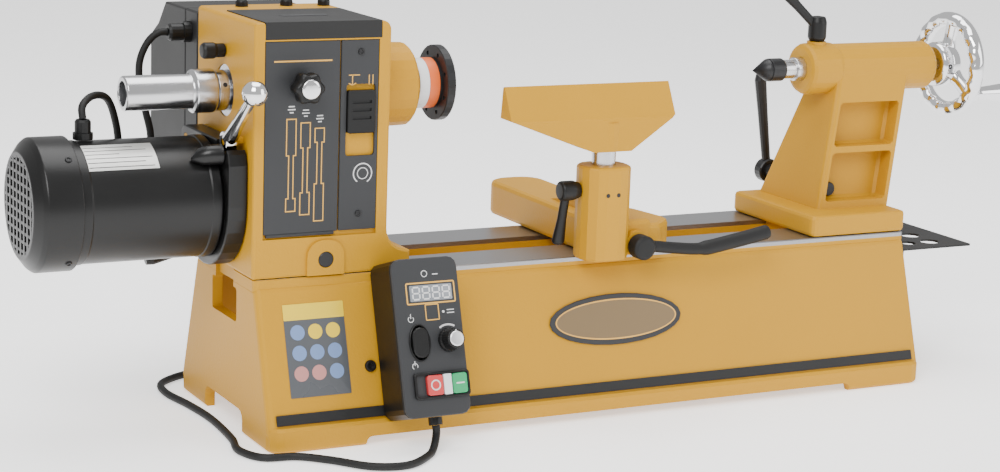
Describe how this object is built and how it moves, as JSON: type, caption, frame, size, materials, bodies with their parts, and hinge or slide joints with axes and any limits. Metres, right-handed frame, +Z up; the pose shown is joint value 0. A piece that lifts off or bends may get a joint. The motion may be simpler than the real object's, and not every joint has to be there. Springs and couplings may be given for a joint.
{
  "type": "wood lathe",
  "caption": "Bench-top wood lathe with a belt-driven headstock and hung motor, a banjo with tool rest, a tailstock and a remote control box on the bed.",
  "frame": {"origin": "on the bench, under the middle of the machine's box without its leads", "axes": "+X along the bed from headstock to tailstock, +Y to the back, +Z up; the operator stands at -Y"},
  "size_m": [1.1716, 0.4524, 0.44],
  "materials": {
    "cast_paint": "mustard stove paint on cast iron, finely pebbled",
    "dark_sheet": "fine-textured black powder coat on sheet steel",
    "panel_print": "dark grey panel with gold printing",
    "motor_black": "gloss black paint on a steel shell",
    "black_plastic": "moulded black plastic",
    "black_oxide": "black oxide and black paint on steel",
    "red_plastic": "red plastic push button",
    "green_plastic": "green plastic push button",
    "lead_rubber": "matt black sheath",
    "steel": "turned and ground steel",
    "chrome": "polished chrome plate",
    "aluminium": "turned aluminium"
  },
  "bodies": {
    "bed": {"bed_casting": "cast_paint", "trim_strip": "dark_sheet", "oval_badge": "panel_print", "tool_shelf": "dark_sheet", "control_box": "black_plastic", "control_face": "panel_print", "box_gland": "black_plastic", "control_cord": "lead_rubber"},
    "rocker": {"direction_switch": "black_plastic"},
    "speed": {"speed_knob": "black_plastic"},
    "stop": {"stop_button": "red_plastic"},
    "start": {"start_button": "green_plastic"},
    "headstock": {"headstock_casting": "cast_paint", "top_cover": "dark_sheet", "lock_panel": "panel_print", "electronics_box": "dark_sheet", "electronics_cover": "dark_sheet", "mains_inlet": "black_plastic", "front_bearing": "steel", "rear_bearing": "steel", "drive_belt": "lead_rubber", "motor_lead": "lead_rubber", "motor_lead_gland": "black_plastic", "control_cord_gland": "black_plastic", "headstock_clamp_plate": "steel"},
    "head_clamp": {"headstock_clamp_lever": "black_oxide"},
    "lock_slider": {"spindle_lock_slider": "black_plastic"},
    "plunger": {"index_plunger": "black_plastic"},
    "door": {"belt_door": "panel_print"},
    "door_latch": {"door_knob": "black_plastic"},
    "spindle_line": {"spindle": "steel", "outboard_sleeve": "steel", "bearing_nut": "steel", "spindle_pulley": "aluminium", "faceplate": "black_oxide"},
    "tension": {"tension_lever": "chrome"},
    "motor": {"motor_mount": "motor_black", "motor_body": "motor_black", "motor_fan_cover": "motor_black", "motor_gland": "black_plastic"},
    "rotor": {"motor_shaft": "steel", "motor_pulley": "aluminium", "cooling_fan": "black_plastic"},
    "banjo_plate": {"banjo_clamp_plate": "steel"},
    "banjo_block": {"banjo_cam_block": "steel"},
    "banjo": {"banjo_casting": "cast_paint"},
    "banjo_cam": {"banjo_cam_lever": "black_oxide"},
    "post_lock": {"post_lock_lever": "black_oxide"},
    "post": {"tool_rest_post": "steel"},
    "rest": {"tool_rest": "cast_paint"},
    "tailstock": {"tailstock_casting": "cast_paint", "tailstock_clamp_plate": "steel"},
    "tail_clamp": {"tailstock_clamp_lever": "black_oxide"},
    "wheel": {"quill_screw": "steel", "handwheel": "chrome"},
    "grip": {"wheel_handle": "chrome"},
    "ram": {"quill": "steel", "live_centre_body": "steel"},
    "centre": {"live_centre_point": "black_oxide"},
    "quill_lock": {"quill_lock_lever": "black_oxide"}
  },
  "joints": [
    {"name": "rocker_tilt", "type": "hinge", "parent": "bed", "child": "rocker", "pos_m": [-0.2285, -0.17821, 0.10697], "axis": [1, 0, 0], "range_deg": [-8, 8]},
    {"name": "speed_turn", "type": "hinge", "parent": "bed", "child": "speed", "pos_m": [-0.1965, -0.18374, 0.10937], "axis": [0, -0.9523, 0.3053], "range_deg": [-270, 0]},
    {"name": "stop_press", "type": "slide", "parent": "bed", "child": "stop", "axis": [0, 0.9523, -0.3053], "range_m": [0, 0.0025], "stiffness_N_per_m": 400},
    {"name": "start_press", "type": "slide", "parent": "bed", "child": "start", "axis": [0, 0.9523, -0.3053], "range_m": [0, 0.0025], "stiffness_N_per_m": 400},
    {"name": "headstock_slide", "type": "slide", "parent": "bed", "child": "headstock", "axis": [1, 0, 0], "range_m": [0, 0.03]},
    {"name": "headstock_clamp", "type": "hinge", "parent": "headstock", "child": "head_clamp", "pos_m": [-0.2985, 0.05721, 0.182], "axis": [0, 1, 0], "range_deg": [0, 15]},
    {"name": "spindle_lock", "type": "slide", "parent": "headstock", "child": "lock_slider", "axis": [0, 0, -1], "range_m": [0, 0.02]},
    {"name": "index_pull", "type": "slide", "parent": "headstock", "child": "plunger", "axis": [-1, 0, 0], "range_m": [0, 0.008], "stiffness_N_per_m": 300},
    {"name": "belt_door_open", "type": "hinge", "parent": "headstock", "child": "door", "pos_m": [-0.3645, -0.10409, 0.2085], "axis": [1, 0, 0], "range_deg": [0, 95]},
    {"name": "door_knob_turn", "type": "hinge", "parent": "door", "child": "door_latch", "pos_m": [-0.3265, -0.10539, 0.357], "axis": [0, 1, 0], "range_deg": [0, 90]},
    {"name": "spindle_spin", "type": "hinge", "parent": "headstock", "child": "spindle_line", "pos_m": [-0.3755, -0.02279, 0.343], "axis": [1, 0, 0], "continuous": true},
    {"name": "tension_swing", "type": "hinge", "parent": "headstock", "child": "tension", "pos_m": [-0.3755, -0.07279, 0.3], "axis": [-1, 0, 0], "range_deg": [0, 55]},
    {"name": "motor_tilt", "type": "hinge", "parent": "headstock", "child": "motor", "pos_m": [-0.3765, 0.03121, 0.285], "axis": [-1, 0, 0], "range_deg": [0, 2.2], "deforming": ["drive_belt", "motor_lead"]},
    {"name": "rotor_spin", "type": "hinge", "parent": "motor", "child": "rotor", "pos_m": [-0.3968, -0.02279, 0.237], "axis": [1, 0, 0], "continuous": true},
    {"name": "banjo_along", "type": "slide", "parent": "bed", "child": "banjo_plate", "axis": [1, 0, 0], "range_m": [-0.03, 0.02]},
    {"name": "banjo_swivel", "type": "hinge", "parent": "banjo_plate", "child": "banjo_block", "pos_m": [0.0485, -0.02279, 0.165], "axis": [0, 0, 1], "range_deg": [-8, 4]},
    {"name": "banjo_across", "type": "slide", "parent": "banjo_block", "child": "banjo", "axis": [0, 1, 0], "range_m": [-0.06, 0.005]},
    {"name": "banjo_clamp", "type": "hinge", "parent": "banjo", "child": "banjo_cam", "pos_m": [0.0485, -0.14279, 0.178], "axis": [0, -1, 0], "range_deg": [0, 65]},
    {"name": "post_lock_turn", "type": "hinge", "parent": "banjo", "child": "post_lock", "pos_m": [-0.0175, -0.11779, 0.239], "axis": [-1, 0, 0], "range_deg": [0, 60]},
    {"name": "rest_height", "type": "slide", "parent": "banjo", "child": "post", "axis": [0, 0, 1], "range_m": [-0.012, 0.05]},
    {"name": "rest_turn", "type": "hinge", "parent": "post", "child": "rest", "pos_m": [0.0099, -0.11779, 0.281], "axis": [0, 0, 1], "range_deg": [-3, 50]},
    {"name": "tailstock_slide", "type": "slide", "parent": "bed", "child": "tailstock", "axis": [1, 0, 0], "range_m": [-0.08, 0]},
    {"name": "tailstock_clamp", "type": "hinge", "parent": "tailstock", "child": "tail_clamp", "pos_m": [0.3455, -0.02279, 0.208], "axis": [0, 1, 0], "range_deg": [0, 70]},
    {"name": "handwheel_turn", "type": "hinge", "parent": "tailstock", "child": "wheel", "pos_m": [0.5255, -0.02279, 0.343], "axis": [1, 0, 0], "range_deg": [0, 4320]},
    {"name": "grip_spin", "type": "hinge", "parent": "wheel", "child": "grip", "pos_m": [0.5255, -0.06479, 0.313], "axis": [1, 0, 0], "continuous": true},
    {"name": "quill_travel", "type": "slide", "parent": "tailstock", "child": "ram", "axis": [-1, 0, 0], "range_m": [0, 0.06]},
    {"name": "centre_spin", "type": "hinge", "parent": "ram", "child": "centre", "pos_m": [0.2725, -0.02279, 0.343], "axis": [1, 0, 0], "continuous": true},
    {"name": "quill_lock_turn", "type": "hinge", "parent": "tailstock", "child": "quill_lock", "pos_m": [0.3365, -0.02279, 0.374], "axis": [0, 0, 1], "range_deg": [-40, 60]}
  ],
  "couplings": [
    {"joint": "rotor_spin", "follows": "spindle_spin", "ratio": 1.1502},
    {"joint": "motor_tilt", "follows": "tension_swing", "ratio": 0.036},
    {"joint": "quill_travel", "follows": "handwheel_turn", "m_per_rad": 0.00079577}
  ]
}
